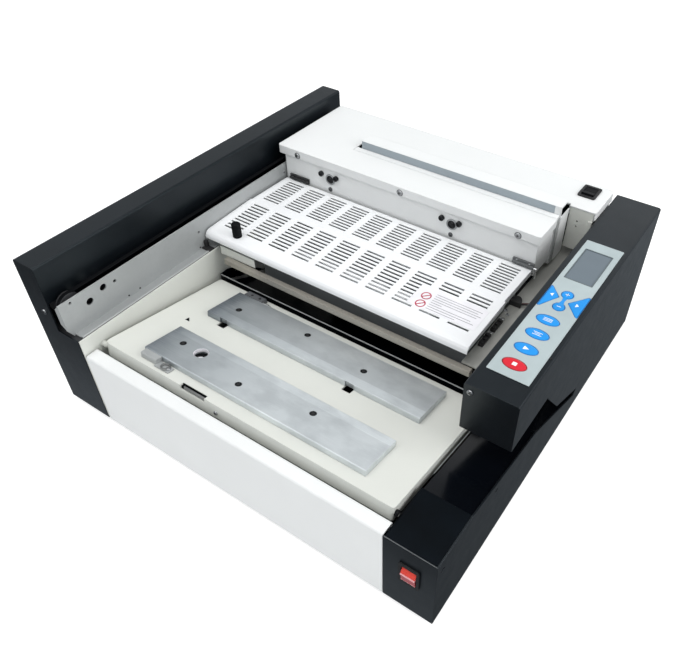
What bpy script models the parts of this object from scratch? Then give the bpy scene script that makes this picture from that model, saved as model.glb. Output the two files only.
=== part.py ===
"""A desktop hot-melt book binder at rest: fixed body, stations, nip table and travelling carriage."""

import math

import bmesh
import bpy

MM = 0.001

# Overall size of the body, in millimetres.
WIDTH = 600.0
DEPTH = 600.0
FOOT_HEIGHT = 8.0
SHEET = 2.0
GAP = 0.4

# Left cover and the channel beside it.
COVER_TOP = 240.0
COVER_WIDTH = 38.0
COVER_INNER_FOOT = 185.0
LEFT_STEP_WIDTH = 76.5
LEFT_STEP_HEIGHT = 142.0
PLATE_X = (58.0, 60.0)
PLATE_TOP = 192.0

# Right cover, its console and the chute beneath it.
RIGHT_X = 535.0
FRONT_TOP = 119.0
CONSOLE_FRONT = 152.0
CONSOLE_FLOOR = 139.5
CONSOLE_TOP = 211.0
INNER_WALL_FOOT = 178.0
LCD_WINDOW = (550.0, 586.0, 377.0, 448.0)
OVERLAY = (543.5, 594.0, 184.0, 468.0)
KEY_CLEARANCE = 0.5

# Belt drive of the carriage.
PULLEY_Z = 180.0
PULLEY_FRONT_Y = 21.0
PULLEY_REAR_Y = 574.0
PULLEY_RADIUS = 12.9
BELT_THICK = 1.4

# Tilting table, modelled level and hung on its pivot.
PIVOT_Y = 30.0
PIVOT_Z = 120.0
TABLE_TILT = 8.9
TABLE_TOP = 128.5
TABLE_FRONT = 26.1
TABLE_DEPTH = 206.0
TABLE_X = (87.0, 530.5)
TABLE_SKIRT = 20.0
PLATE_THICK = 8.0

# Carriage.
HOUSING_TOP = 222.0
HOUSING_FOOT = 156.0
LIP_FOOT = 209.0
JAW_FACE = 486.0
HINGE_Y = 421.5
HINGE_Z = 172.5

# Lid slots.
LID_THICK = 1.2
SLOT_FIRST_X = 76.0
SLOT_GROUP_PITCH = 41.6
SLOT_LENGTH = 30.0
SLOT_WIDTH = 3.3
SLOT_GROUPS = 10
SLOTS_PER_GROUP = 10


def clear_scene():
    for obj in list(bpy.data.objects):
        bpy.data.objects.remove(obj, do_unlink=True)


def paint(name, colour, roughness, metallic=0.0):
    material = bpy.data.materials.new(name)
    material.use_nodes = True
    shader = material.node_tree.nodes["Principled BSDF"]
    shader.inputs["Base Color"].default_value = (*colour, 1.0)
    shader.inputs["Roughness"].default_value = roughness
    shader.inputs["Metallic"].default_value = metallic
    return material


def spread(axis, a, b, along):
    """Point from its two cross coordinates and its position along the axis."""
    if axis == "X":
        return (along, a, b)
    if axis == "Y":
        return (a, along, b)
    return (a, b, along)


def closed(bm):
    loose = [vert for vert in bm.verts if not vert.link_faces]
    bmesh.ops.delete(bm, geom=loose, context="VERTS")
    bmesh.ops.recalc_face_normals(bm, faces=bm.faces)
    return bm


def prism(axis, outline, start, end):
    bm = bmesh.new()
    near = [bm.verts.new(spread(axis, a, b, start)) for a, b in outline]
    far = [bm.verts.new(spread(axis, a, b, end)) for a, b in outline]
    bm.faces.new(near)
    bm.faces.new(far)
    count = len(outline)
    for i in range(count):
        j = (i + 1) % count
        bm.faces.new((near[i], near[j], far[j], far[i]))
    return closed(bm)


def block(x0, x1, y0, y1, z0, z1):
    return prism("Z", [(x0, y0), (x1, y0), (x1, y1), (x0, y1)], z0, z1)


def circle(a, b, radius, sides, radius_b=None):
    radius_b = radius_b or radius
    steps = [2 * math.pi * (i + 0.5) / sides for i in range(sides)]
    return [(a + radius * math.cos(t), b + radius_b * math.sin(t)) for t in steps]


def rod(axis, a, b, radius, start, end, sides=16):
    return prism(axis, circle(a, b, radius, sides), start, end)


def turned(axis, a, b, profile, sides=20):
    """Body of revolution: profile holds (radius, position along the axis)."""
    bm = bmesh.new()
    rings = []
    for radius, along in profile:
        points = circle(a, b, radius, sides)
        rings.append([bm.verts.new(spread(axis, p, q, along)) for p, q in points])
    bm.faces.new(rings[0])
    bm.faces.new(rings[-1])
    for lower, upper in zip(rings, rings[1:]):
        for i in range(sides):
            j = (i + 1) % sides
            bm.faces.new((lower[i], lower[j], upper[j], upper[i]))
    return closed(bm)


def arc(before, corner, after, radius, steps):
    """Points of the fillet that replaces one corner."""
    to_before = (before[0] - corner[0], before[1] - corner[1])
    to_after = (after[0] - corner[0], after[1] - corner[1])
    length_before = math.hypot(*to_before)
    length_after = math.hypot(*to_after)
    u = (to_before[0] / length_before, to_before[1] / length_before)
    v = (to_after[0] / length_after, to_after[1] / length_after)
    half = math.acos(max(-1.0, min(1.0, u[0] * v[0] + u[1] * v[1]))) / 2
    back = radius / math.tan(half)
    bisector = (u[0] + v[0], u[1] + v[1])
    scale = radius / math.sin(half) / math.hypot(*bisector)
    centre = (corner[0] + bisector[0] * scale, corner[1] + bisector[1] * scale)
    start = (corner[0] + u[0] * back, corner[1] + u[1] * back)
    end = (corner[0] + v[0] * back, corner[1] + v[1] * back)
    a0 = math.atan2(start[1] - centre[1], start[0] - centre[0])
    a1 = math.atan2(end[1] - centre[1], end[0] - centre[0])
    turn = (a1 - a0 + math.pi) % (2 * math.pi) - math.pi
    angles = [a0 + turn * i / steps for i in range(steps + 1)]
    return [(centre[0] + radius * math.cos(t), centre[1] + radius * math.sin(t)) for t in angles]


def rounded(points, radii, steps=3, is_open=False):
    """Outline with its corners filleted; a radius of zero leaves the corner."""
    if not isinstance(radii, (list, tuple)):
        radii = [radii] * len(points)
    result = []
    count = len(points)
    for i, (point, radius) in enumerate(zip(points, radii)):
        at_end = is_open and i in (0, count - 1)
        if at_end or radius == 0:
            result.append(point)
        else:
            result += arc(points[i - 1], point, points[(i + 1) % count], radius, steps)
    return result


def offset(path, distance):
    """Open path moved to its left by the distance, with mitred corners."""
    moved = []
    for i, point in enumerate(path):
        normals = []
        for p, q in ((path[max(i - 1, 0)], point), (point, path[min(i + 1, len(path) - 1)])):
            length = math.hypot(q[0] - p[0], q[1] - p[1])
            if length > 0:
                normals.append((-(q[1] - p[1]) / length, (q[0] - p[0]) / length))
        nx = sum(n[0] for n in normals) / len(normals)
        ny = sum(n[1] for n in normals) / len(normals)
        size = nx * nx + ny * ny
        moved.append((point[0] + distance * nx / size, point[1] + distance * ny / size))
    return moved


def folded(axis, path, thickness, start, end, bend=3.0):
    """Bent sheet: the path is its outer face, the thickness lies to the path's left."""
    outer = rounded(path, bend, is_open=True)
    return prism(axis, outer + offset(outer, thickness)[::-1], start, end)


def pierced_sheet(path, thickness, columns, solid):
    """Sheet along a (y, z) path, split at the columns; solid(row, column) tells which cells are there."""
    lower = offset(path, thickness)
    bm = bmesh.new()
    top = [[bm.verts.new((x, y, z)) for x in columns] for y, z in path]
    low = [[bm.verts.new((x, y, z)) for x in columns] for y, z in lower]
    rows = len(path) - 1
    cols = len(columns) - 1

    def filled(row, col):
        return 0 <= row < rows and 0 <= col < cols and solid(row, col)

    for row in range(rows):
        for col in range(cols):
            if not filled(row, col):
                continue
            ring = [(row, col), (row, col + 1), (row + 1, col + 1), (row + 1, col)]
            bm.faces.new([top[r][c] for r, c in ring])
            bm.faces.new([low[r][c] for r, c in reversed(ring)])
            beside = ((row - 1, col), (row, col + 1), (row + 1, col), (row, col - 1))
            for k, (r, c) in enumerate(beside):
                if filled(r, c):
                    continue
                (r0, c0), (r1, c1) = ring[k], ring[(k + 1) % 4]
                bm.faces.new((top[r0][c0], low[r0][c0], low[r1][c1], top[r1][c1]))
    return closed(bm)


def helper_object(bm):
    mesh = bpy.data.meshes.new("shape")
    bm.to_mesh(mesh)
    bm.free()
    obj = bpy.data.objects.new("shape", mesh)
    bpy.context.scene.collection.objects.link(obj)
    return obj


def joined(adds, cuts):
    """One mesh: the first body, with the others added and the cutters taken away."""
    body = helper_object(adds[0])
    tools = []
    for operation, shapes in (("UNION", adds[1:]), ("DIFFERENCE", cuts)):
        for shape in shapes:
            tool = helper_object(shape)
            tools.append(tool)
            modifier = body.modifiers.new(operation.lower(), "BOOLEAN")
            modifier.operation = operation
            modifier.solver = "EXACT"
            modifier.object = tool
    if not tools:
        mesh = body.data
        bpy.data.objects.remove(body)
        return mesh
    bpy.context.view_layer.update()
    graph = bpy.context.evaluated_depsgraph_get()
    mesh = bpy.data.meshes.new_from_object(body.evaluated_get(graph))
    for obj in [body, *tools]:
        data = obj.data
        bpy.data.objects.remove(obj)
        bpy.data.meshes.remove(data)
    return mesh


class Pivot:
    """Empty that a moving group hangs on, at a point of the level machine."""

    def __init__(self, name, point, under=None, turn=0.0):
        self.point = point
        self.empty = bpy.data.objects.new(name, None)
        self.empty.location = local_place(point, under)
        self.empty.rotation_euler = (math.radians(turn), 0.0, 0.0)
        self.empty.parent = under.empty if under else None
        bpy.context.scene.collection.objects.link(self.empty)


def local_place(point, under):
    """Metres from the parent's point, or from the middle of the floor under the machine."""
    base = under.point if under else (WIDTH / 2, DEPTH / 2, -FOOT_HEIGHT)
    return [(value - start) * MM for value, start in zip(point, base)]


def part(name, material, adds, cuts=(), origin=None, under=None, turn=0.0):
    mesh = joined(list(adds), list(cuts))
    mesh.name = name
    coords = [vert.co.copy() for vert in mesh.vertices]
    if origin is None:
        low = [min(c[i] for c in coords) for i in range(3)]
        high = [max(c[i] for c in coords) for i in range(3)]
        origin = [(a + b) / 2 for a, b in zip(low, high)]
    for vert, co in zip(mesh.vertices, coords):
        vert.co = [(value - start) * MM for value, start in zip(co, origin)]
    mesh.materials.clear()
    mesh.materials.append(material)
    mesh.shade_smooth()
    mesh.set_sharp_from_angle(angle=math.radians(31))
    obj = bpy.data.objects.new(name, mesh)
    bpy.context.scene.collection.objects.link(obj)
    obj.location = local_place(origin, under)
    obj.rotation_euler = (math.radians(turn), 0.0, 0.0)
    obj.parent = under.empty if under else None
    return obj


def build_feet(rubber):
    for name, x, y in (
        ("foot_front_left", 38, 38),
        ("foot_front_right", 562, 38),
        ("foot_rear_left", 38, 562),
        ("foot_rear_right", 562, 562),
    ):
        profile = [(13, -FOOT_HEIGHT), (14.5, -6.5), (16, -0.3)]
        part(name, rubber, [turned("Z", x, y, profile)])


def build_left_side(charcoal, steel, beige, dark):
    part("base_pan", dark, [block(3, 597, 3, 597, 0, SHEET)])
    outer = rounded([(0, 0), (COVER_WIDTH, 0), (COVER_WIDTH, COVER_TOP), (0, COVER_TOP)], [0, 0, 3, 4])
    hollow = [(2, -1), (39, -1), (39, COVER_INNER_FOOT), (36, COVER_INNER_FOOT), (36, 238), (2, 238)]
    part(
        "left_cover",
        charcoal,
        [prism("Y", outer, 0, DEPTH), block(36, LEFT_STEP_WIDTH, 0, SHEET, 0, LEFT_STEP_HEIGHT)],
        [prism("Y", hollow, SHEET, DEPTH - SHEET)],
    )
    deck = [(76.2, 100), (76.2, 139.6), (3, 139.6)]
    part("left_deck", dark, [folded("Y", deck, SHEET, 3, 597)])
    web = [(0.6, PLATE_TOP), (590, PLATE_TOP), (590, 140), (7, 140), (0.6, 152)]
    holes = [(42, 172.5, 5.2), (65, 180, 5.0), (17, 187, 2.0), (83, 178.5, 2.4), (231, 170, 1.8)]
    part(
        "guide_plate_left",
        steel,
        [prism("X", web, *PLATE_X), block(58.5, 70, 9, 590, 140, 142)],
        [rod("X", y, z, r, 56, 62, 12) for y, z, r in holes],
    )
    part("inner_wall_left", beige, [block(77, 79, 0.5, 597.4, 2.4, 143.5)])
    part("rail_left", steel, [block(18, 28, 110, 594, 140, 152)])
    motor = rod("X", PULLEY_FRONT_Y, PULLEY_Z, 16.5, 4, 34, 20)
    shaft = rod("X", PULLEY_FRONT_Y, PULLEY_Z, 3, 33, 45.3, 12)
    part("carriage_motor", dark, [motor, shaft])


def belt_outline(radius, sides=10):
    points = []
    for centre, first in ((PULLEY_REAR_Y, -90), (PULLEY_FRONT_Y, 90)):
        for i in range(sides + 1):
            t = math.radians(first + 180 * i / sides)
            points.append((centre + radius * math.cos(t), PULLEY_Z + radius * math.sin(t)))
    return points


def build_belt_drive(black, steel):
    inner = PULLEY_RADIUS + GAP
    part(
        "drive_belt",
        black,
        [prism("X", belt_outline(inner + BELT_THICK), 47.2, 52.8)],
        [prism("X", belt_outline(inner), 46, 54)],
    )
    profile = [(15.5, 45.8), (15.5, 46.8), (PULLEY_RADIUS, 46.8), (PULLEY_RADIUS, 53.2), (15.5, 53.2)]
    profile += [(15.5, 54.2), (5, 54.2), (5, 57.5)]
    for name, y in (("belt_pulley_front", PULLEY_FRONT_Y), ("belt_pulley_rear", PULLEY_REAR_Y)):
        part(name, steel, [turned("X", y, PULLEY_Z, profile)], origin=(50, y, PULLEY_Z))


def key_outlines():
    left = rounded([(544.5, 355), (544.5, 306.5), (560.2, 337)], 1.3)
    right = rounded([(593.0, 311), (593.0, 358), (574.8, 332)], 1.3)
    keys = {"key_left": left, "key_right": right}
    keys["key_plus"] = circle(567.8, 346, 7, 20)
    keys["key_minus"] = circle(567.7, 320, 7, 20)
    for name, y in (("key_menu", 291), ("key_set", 262.7), ("key_start", 233.9), ("key_stop", 205)):
        keys[name] = circle(567, y, 13.8, 24, 7.9)
    return keys


def middle(outline):
    xs = [p[0] for p in outline]
    ys = [p[1] for p in outline]
    return (min(xs) + max(xs)) / 2, (min(ys) + max(ys)) / 2


def grown(outline, extra):
    """Outline moved outwards by the extra."""
    pairs = zip(outline, outline[1:] + outline[:1])
    turn = sum(a[0] * b[1] - b[0] * a[1] for a, b in pairs)
    loop = [outline[-1], *outline, outline[0]]
    return offset(loop, -math.copysign(extra, turn))[1:-1]


def build_right_side(charcoal, gloss, dark):
    corners = [(RIGHT_X, CONSOLE_FLOOR), (WIDTH, CONSOLE_FLOOR), (WIDTH, CONSOLE_TOP), (RIGHT_X, CONSOLE_TOP)]
    shell = rounded(corners, [0, 0, 3, 2])
    ceiling = CONSOLE_TOP - SHEET
    inner_x = RIGHT_X + SHEET
    room = [(530, 130), (598, 130), (598, ceiling), (inner_x, ceiling), (inner_x, INNER_WALL_FOOT)]
    room.append((530, INNER_WALL_FOOT))
    wall = [(0, 0), (0, FRONT_TOP), (72, FRONT_TOP), (231, 91), (373, 28), (379, 38), (299, 76), (248, 137)]
    wall += [(248, 180), (600, 180), (600, 0)]
    slots = [(11, 101), (56, 6), (127, 97), (293, 6)]
    x0, x1, y0, y1 = LCD_WINDOW
    openings = [block(x0, x1, y0, y1, 205, 215)]
    openings += [prism("Z", grown(shape, KEY_CLEARANCE), 205, 215) for shape in key_outlines().values()]
    openings += [block(597, 601, y - 3.6, y + 3.6, z - 1.9, z + 1.9) for y, z in slots]
    openings.append(block(557.4, 579.2, -1, 3, 58, 89))
    part(
        "right_side_cover",
        charcoal,
        [
            prism("Y", shell, CONSOLE_FRONT, DEPTH),
            prism("X", wall, 598, 600),
            block(535, 599, 0, SHEET, 0, FRONT_TOP),
            block(535, 599, 598, 600, 0, 180),
        ],
        [prism("Y", room, CONSOLE_FRONT + SHEET, DEPTH - SHEET), *openings],
    )
    plate = [(535.5, 100), (535.5, FRONT_TOP), (597.6, FRONT_TOP)]
    part("right_front_top", charcoal, [folded("Y", plate, -SHEET, 2.4, 71.6, 2.5)])
    part("console_floor", dark, [block(537.4, 597.6, 154.4, 597.6, 139.6, 141.6)])
    path = [(376, 25.5), (236, 87.4), (231.6, 89.2), (73, 116)]
    part(
        "paper_chute",
        gloss,
        [pierced_sheet(path, SHEET, [86, 538, 597.4], lambda row, col: row == 0 or col == 1)],
    )


def build_console(overlay, glass, blue, red):
    x0, x1, y0, y1 = OVERLAY
    sheet = rounded([(x0, y0), (x1, y0), (x1, y1), (x0, y1)], 1)
    w0, w1, v0, v1 = LCD_WINDOW
    cuts = [block(w0, w1, v0, v1, 208, 215)]
    cuts += [prism("Z", grown(shape, KEY_CLEARANCE), 208, 215) for shape in key_outlines().values()]
    part("console_overlay", overlay, [prism("Z", sheet, 211.3, 211.9)], cuts)
    raised = block(w0 + 0.5, w1 - 0.5, v0 + 0.5, v1 - 0.5, 208, 211.5)
    part("lcd_module", glass, [block(545, 591, 370, 455, 203.5, 208.6), raised])
    for name, shape in key_outlines().items():
        tone = red if name == "key_stop" else blue
        x, y = middle(shape)
        part(name, tone, [prism("Z", shape, 207.5, 212.5)], origin=(x, y, 211))


def build_front_and_rear(white, charcoal, black):
    path = [(0, 0), (0, 120), (19, 120), (19, 100)]
    part("front_panel", white, [folded("X", path, -SHEET, 80.8, 534.4)])
    opening = block(471.6, 518.4, 597, 601, 19.6, 48.4)
    part("rear_panel", charcoal, [block(38.5, 534.4, 598, 600, 0, 176)], [opening])
    flange = rounded([(469, 17), (521, 17), (521, 51), (469, 51)], 3)
    recess = rounded([(476, 22), (514, 22), (514, 38), (507, 46), (483, 46), (476, 38)], 1)
    part(
        "power_inlet",
        black,
        [prism("Y", flange, 600.4, 604.9), block(472, 518, 577, 602, 20, 48)],
        [prism("Y", recess, 582, 606)],
    )


def rocker_outline(half, high, low):
    quarter = half / 2
    return [(-half, high), (0, low), (half, high), (half, -2), (quarter, -7), (-quarter, -7), (-half, -2)]


def switch(prefix, frame_material, cap_material, centre, length, turn, cap_under):
    """Rocker switch facing local +Z: a bezel with its body, and the cap that rocks about the middle."""
    x, y, z = centre
    half = length / 2
    window = half - 4
    left, right = x - 12.9, x + 12.9
    bezel = rounded([(left, y - half), (right, y - half), (right, y + half), (left, y + half)], 2.5)
    body = block(x - 10.5, x + 10.5, y - half + 2.4, y + half - 2.4, z - 14, z + 1)
    part(
        prefix + "_bezel",
        frame_material,
        [prism("Z", bezel, z + 0.3, z + 2.2), body],
        [block(x - 9.3, x + 9.3, y - window, y + window, z - 11, z + 3)],
        origin=centre,
        under=cap_under,
        turn=turn,
    )
    outline = rocker_outline(window - 0.9, 3.2, 1.4)
    cap = prism("X", [(y + a, z + b) for a, b in outline], x - 8.8, x + 8.8)
    return part(prefix + "_rocker", cap_material, [cap], origin=centre, under=cap_under, turn=turn - 8)


def build_table(beige, steel, bracket):
    pivot = Pivot("table_pivot", (308.75, PIVOT_Y, PIVOT_Z), turn=-TABLE_TILT)
    x0, x1 = TABLE_X
    y0 = TABLE_FRONT
    y1 = y0 + TABLE_DEPTH
    top = rounded([(x0, y0), (x1, y0), (x1, y1), (x0, y1)], [7, 3, 3, 3])
    inside = rounded([(x0 + 2, y0 + 2), (x1 - 2, y0 + 2), (x1 - 2, y1 - 2), (x0 + 2, y1 - 2)], [5, 1, 1, 1])
    slots = [block(x - 6.5, x + 6.5, 143.5, 185, 120, 130) for x in (172, 382)]
    slots += [block(x - 4, x + 4, 71, 101, 120, 130) for x in (172, 382)]
    slots.append(prism("Z", [(126, 126.5), (132, 126.5), (126, 132.5)], 120, 130))
    slots.append(block(222, 262, 25, 32, 122.5, 130))
    part(
        "nip_table",
        beige,
        [
            prism("Z", top, TABLE_TOP - TABLE_SKIRT, TABLE_TOP),
            rod("X", PIVOT_Y, PIVOT_Z, 3, 79.4, 88, 12),
            rod("X", PIVOT_Y, PIVOT_Z, 3, 529.5, 534.9, 12),
        ],
        [prism("Z", inside, TABLE_TOP - TABLE_SKIRT - 3, TABLE_TOP - 2.5), *slots],
        under=pivot,
        origin=pivot.point,
    )
    for name, x1, ya, yb, pin_y, screws in (
        ("nip_plate_front", 482, 43.9, 103.6, 75.0, ((172, 79.3), (280.8, 64.1), (382, 79.9))),
        ("nip_plate_rear", 484, 151.1, 215.4, 180.5, ((171.7, 180.9), (280, 196.4), (382, 181.7))),
    ):
        z0 = TABLE_TOP + 0.3
        z1 = z0 + PLATE_THICK
        recesses = [rod("Z", x, y, 4.6, z1 - 2.5, z1 + 1, 16) for x, y in screws]
        if name == "nip_plate_front":
            recesses.append(rod("Z", 203.8, 79.3, 10, z0 - 1, z1 + 1, 24))
        else:
            recesses += [block(x - 6.5, x + 6.5, ya - 1, ya + 2, z0 - 1, z1 + 1) for x in (172, 382)]
        plate = rounded([(ya, z0), (yb, z0), (yb, z1), (ya, z1)], [0, 0, 0.8, 0.8], 1)
        pins = [rod("Z", x, pin_y, 2.8, 113, z0 + 2, 12) for x in (172, 382)]
        part(name, steel, [prism("X", plate, 142, x1), *pins], recesses, under=pivot)
    z0 = TABLE_TOP + 0.3
    stand = [(34, z0), (43.4, z0), (43.4, z0 + 7.8), (35, z0 + 7.8), (34, z0 + 6.8)]
    foot = block(172, 196, 31, 41.5, z0, z0 + 1.6)
    part("cover_stop_front", bracket, [prism("X", stand, 146, 173), foot], under=pivot)
    return pivot


def build_table_lift(dark, steel):
    y = 215.0
    reach = y - PIVOT_Y
    tilt = math.radians(TABLE_TILT)
    under_top = TABLE_TOP - 2.5 - PIVOT_Z
    tip = PIVOT_Z + under_top / math.cos(tilt) - reach * math.tan(tilt) - 1.3
    part(
        "table_lift_actuator",
        dark,
        [block(290, 326, 198, 232, 2.4, 62)],
        [rod("Z", 308, y, 6, 40, 63, 16)],
    )
    part("table_lift_plunger", steel, [rod("Z", 308, y, 5.4, 44, tip)])


def build_stations(dark, steel, galvanised):
    part(
        "glue_tank",
        galvanised,
        [block(150, 482, 262, 340, 96, 136)],
        [block(153, 479, 265, 337, 99, 140)],
    )
    for name, y in (("glue_roller_front", 284.5), ("glue_roller_rear", 317.5)):
        profile = [(4, 153.6), (4, 158), (14, 158), (14, 474), (4, 474), (4, 478.4)]
        part(name, steel, [turned("X", y, 123, profile, 24)], origin=(316, y, 123))
    teeth = []
    for i in range(16):
        radius = 13 if i % 2 == 0 else 10.5
        for shift in (-0.3, 0.3):
            t = 2 * math.pi * (i + shift) / 16
            teeth.append((385 + radius * math.cos(t), 121 + radius * math.sin(t)))
    journal = rod("X", 385, 121, 4, 150, 485, 12)
    part("milling_drum", steel, [journal, prism("X", teeth, 160, 476)], origin=(318, 385, 121))
    part("milling_motor", dark, [rod("X", 385, 121, 16, 92, 149.4, 20)])
    part("station_deck", galvanised, [folded("Y", [(534.0, 100), (534.0, 140), (487, 140)], SHEET, 242, 597)])
    part("front_strip", steel, [block(100, 503, 233.4, 241, 129, 137.6)])


def build_carriage(white, dark, beige, steel, black):
    slide = Pivot("carriage_slide", (300, 505, 190))
    outline = [(51, 422.5), (496, 422.5), (496, 517), (534, 517), (534, 588), (51, 588)]
    inner = [(53, 424.5), (494, 424.5), (494, 519), (532, 519), (532, 586), (53, 586)]
    cover = prism("Z", rounded(outline, [4, 3, 0, 4, 5, 5]), LIP_FOOT, HOUSING_TOP)
    part(
        "carriage_cover",
        white,
        [cover, block(62.2, 528, 586, 588, 178, 215)],
        [
            prism("Z", rounded(inner, [2, 1, 0, 0, 3, 3]), 200, HOUSING_TOP - SHEET),
            block(157, 500, 475, 516.8, 200, 230),
            block(157, 495.6, 516, 522, 200, 230),
            block(496.6, 531.9, 516, 519.6, 200, HOUSING_TOP - SHEET),
            block(495, 517, 549, 577, 205, 230),
        ],
        under=slide,
    )
    wall = [(474.6, HOUSING_FOOT), (425, HOUSING_FOOT), (425, 208.6)]
    part(
        "carriage_front_wall",
        white,
        [
            folded("X", wall, -SHEET, 62.4, 493.4, 2.5),
            block(491.4, 493.4, 426, 474.6, HOUSING_FOOT + 1, 208.6),
            block(62.4, 64.4, 426, 562, HOUSING_FOOT + 1, 208.6),
        ],
        under=slide,
    )
    part("fixed_jaw", steel, [block(157.6, 494.6, 475.4, 485.5, 147, HOUSING_TOP)], under=slide)
    flange = rounded([(166, 486), (495, 486), (495, 511), (166, 511)], [0, 0, 6, 2])
    part(
        "moving_jaw",
        steel,
        [
            block(166, 495, JAW_FACE, 500, 147, 205),
            block(166, 495, JAW_FACE, 489.5, 200, 234),
            prism("Z", flange, 231, 234),
            rod("Y", 230, 176, 5, 498, 552, 12),
            rod("Y", 430, 176, 5, 498, 552, 12),
        ],
        under=slide,
    )
    part(
        "jaw_gearbox",
        dark,
        [block(200, 460, 535, 551, 162, 196), block(300, 360, 545, 585, 162, 196)],
        [rod("Y", x, 176, 5.6, 534, 552, 12) for x in (230, 430)],
        under=slide,
    )
    part(
        "carriage_side_box",
        beige,
        [block(497, 531.4, 517.2, 519.2, 155, 219.6), block(529.4, 531.4, 517.2, 582, 168, 219.6)],
        [rod("Y", 510, z, 1.3, 516, 520, 8) for z in (201, 193)],
        under=slide,
    )
    part(
        "carriage_frame",
        dark,
        [
            block(40.5, 528, 566, 584, 198, 206.5),
            block(40.5, 43.5, 566, 584, 165, 202),
            block(12, 43.5, 566, 584, 165, 171),
            block(12, 34, 556, 590, 146, 167),
            block(47.4, 52.6, 566, 573, 195.4, 199),
            block(524, 528, 566, 584, 158, 202),
            block(524, 571, 566, 584, 158, 164),
            block(551, 571, 556, 590, 146, 162),
        ],
        [block(17.5, 28.5, 550, 595, 139, 152.5), block(555.5, 566.5, 550, 595, 139, 152.5)],
        under=slide,
    )
    part("rail_right", steel, [block(556, 566, 156, 596, 142, 152)])
    for name, xa, xb in (("hinge_left", 71, 108), ("hinge_right", 462, 494)):
        leaf = block(xa, xb, 421.5, 424.4, HINGE_Z, 178)
        part(name, black, [rod("X", HINGE_Y, HINGE_Z, 2.1, xa, xb, 12), leaf], under=slide)
    return slide


def lid_path():
    """Upper face of the lid from its rear edge to the rolled front lip, with a row at each slot edge."""
    half = SLOT_WIDTH / 2
    rear = [411 - 6.6 * k for k in range(SLOTS_PER_GROUP)]
    front = [330 - 7.0 * k for k in range(SLOTS_PER_GROUP)]
    stations = [421.0]
    for y in rear:
        stations += [y + half, y - half]
    stations.append(339.0)
    for y in front:
        stations += [y + half, y - half]
    stations.append(250.0)
    path = []
    for y in stations:
        z = 171 - 2 * (y - 339) / 82 if y >= 339 else 171 - 3.1 * (339 - y) / 89
        path.append((y, z))
    return path + [(246, 167.2), (243, 165.4), (241, 162.6), (240.2, 159.6), (240, 156.8)]


def lid_cell(row, col):
    """Whether the lid has metal in this cell: the slots and the narrower rear half are open."""
    rear_rows = 2 * SLOTS_PER_GROUP + 1
    if row < rear_rows and col in (0, 2 * SLOT_GROUPS + 2):
        return False
    if col % 2 == 1 or not 2 <= col <= 2 * SLOT_GROUPS:
        return True
    group = col // 2 - 1
    if row < rear_rows:
        return row % 2 == 0
    slot, is_land = divmod(row - rear_rows - 1, 2)
    if row == rear_rows or is_land or slot >= SLOTS_PER_GROUP:
        return True
    return group >= 8 and 3 <= slot <= 8


def build_lid(white, black, slide):
    hinge = Pivot("lid_hinge_line", (278, HINGE_Y, HINGE_Z), under=slide)
    columns = [62.0, 64.0]
    for group in range(SLOT_GROUPS):
        start = SLOT_FIRST_X + SLOT_GROUP_PITCH * group
        columns += [start, start + SLOT_LENGTH]
    columns += [492.0, 494.0]
    sheet = pierced_sheet(lid_path(), LID_THICK, columns, lid_cell)
    part("lid", white, [sheet], under=hinge, origin=hinge.point)
    profile = [(6.4, 168.5), (6.4, 188.6), (5.4, 190.2)]
    part("lid_knob", black, [turned("Z", 110, 257, profile, 20)], under=hinge)


def main():
    clear_scene()
    charcoal = paint("charcoal_powder_coat", (0.042, 0.050, 0.060), 0.55)
    gloss = paint("black_gloss_sheet", (0.015, 0.016, 0.018), 0.2)
    white = paint("white_powder_coat", (0.78, 0.80, 0.81), 0.45)
    beige = paint("beige_powder_coat", (0.70, 0.71, 0.66), 0.45)
    dark = paint("dark_steel", (0.05, 0.05, 0.055), 0.5, 0.4)
    galvanised = paint("galvanised_steel", (0.30, 0.32, 0.32), 0.45, 0.9)
    steel = paint("brushed_steel", (0.40, 0.44, 0.47), 0.35, 0.9)
    rubber = paint("black_rubber", (0.02, 0.02, 0.02), 0.9)
    black = paint("black_plastic", (0.012, 0.012, 0.013), 0.35)
    overlay = paint("console_overlay_film", (0.45, 0.53, 0.53), 0.5)
    glass = paint("display_glass", (0.19, 0.22, 0.26), 0.15)
    blue = paint("key_blue", (0.013, 0.30, 0.90), 0.35)
    red = paint("key_red", (0.70, 0.018, 0.04), 0.35)
    build_feet(rubber)
    build_left_side(charcoal, galvanised, beige, dark)
    build_belt_drive(black, steel)
    build_right_side(charcoal, gloss, dark)
    build_console(overlay, glass, blue, red)
    build_front_and_rear(white, charcoal, black)
    build_table(beige, steel, galvanised)
    build_table_lift(dark, steel)
    build_stations(dark, steel, galvanised)
    slide = build_carriage(white, dark, beige, steel, black)
    build_lid(white, black, slide)
    switch("carriage_switch", black, black, (506, 563, HOUSING_TOP), 32, 0, slide)
    switch("power_switch", black, red, (568.3, 0, 73.5), 35, 90, None)


main()
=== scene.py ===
"""Looks of the desktop hot-melt book binder: materials, small fittings, light and camera."""
import math

import bmesh
import bpy
from mathutils import Matrix, Vector


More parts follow.
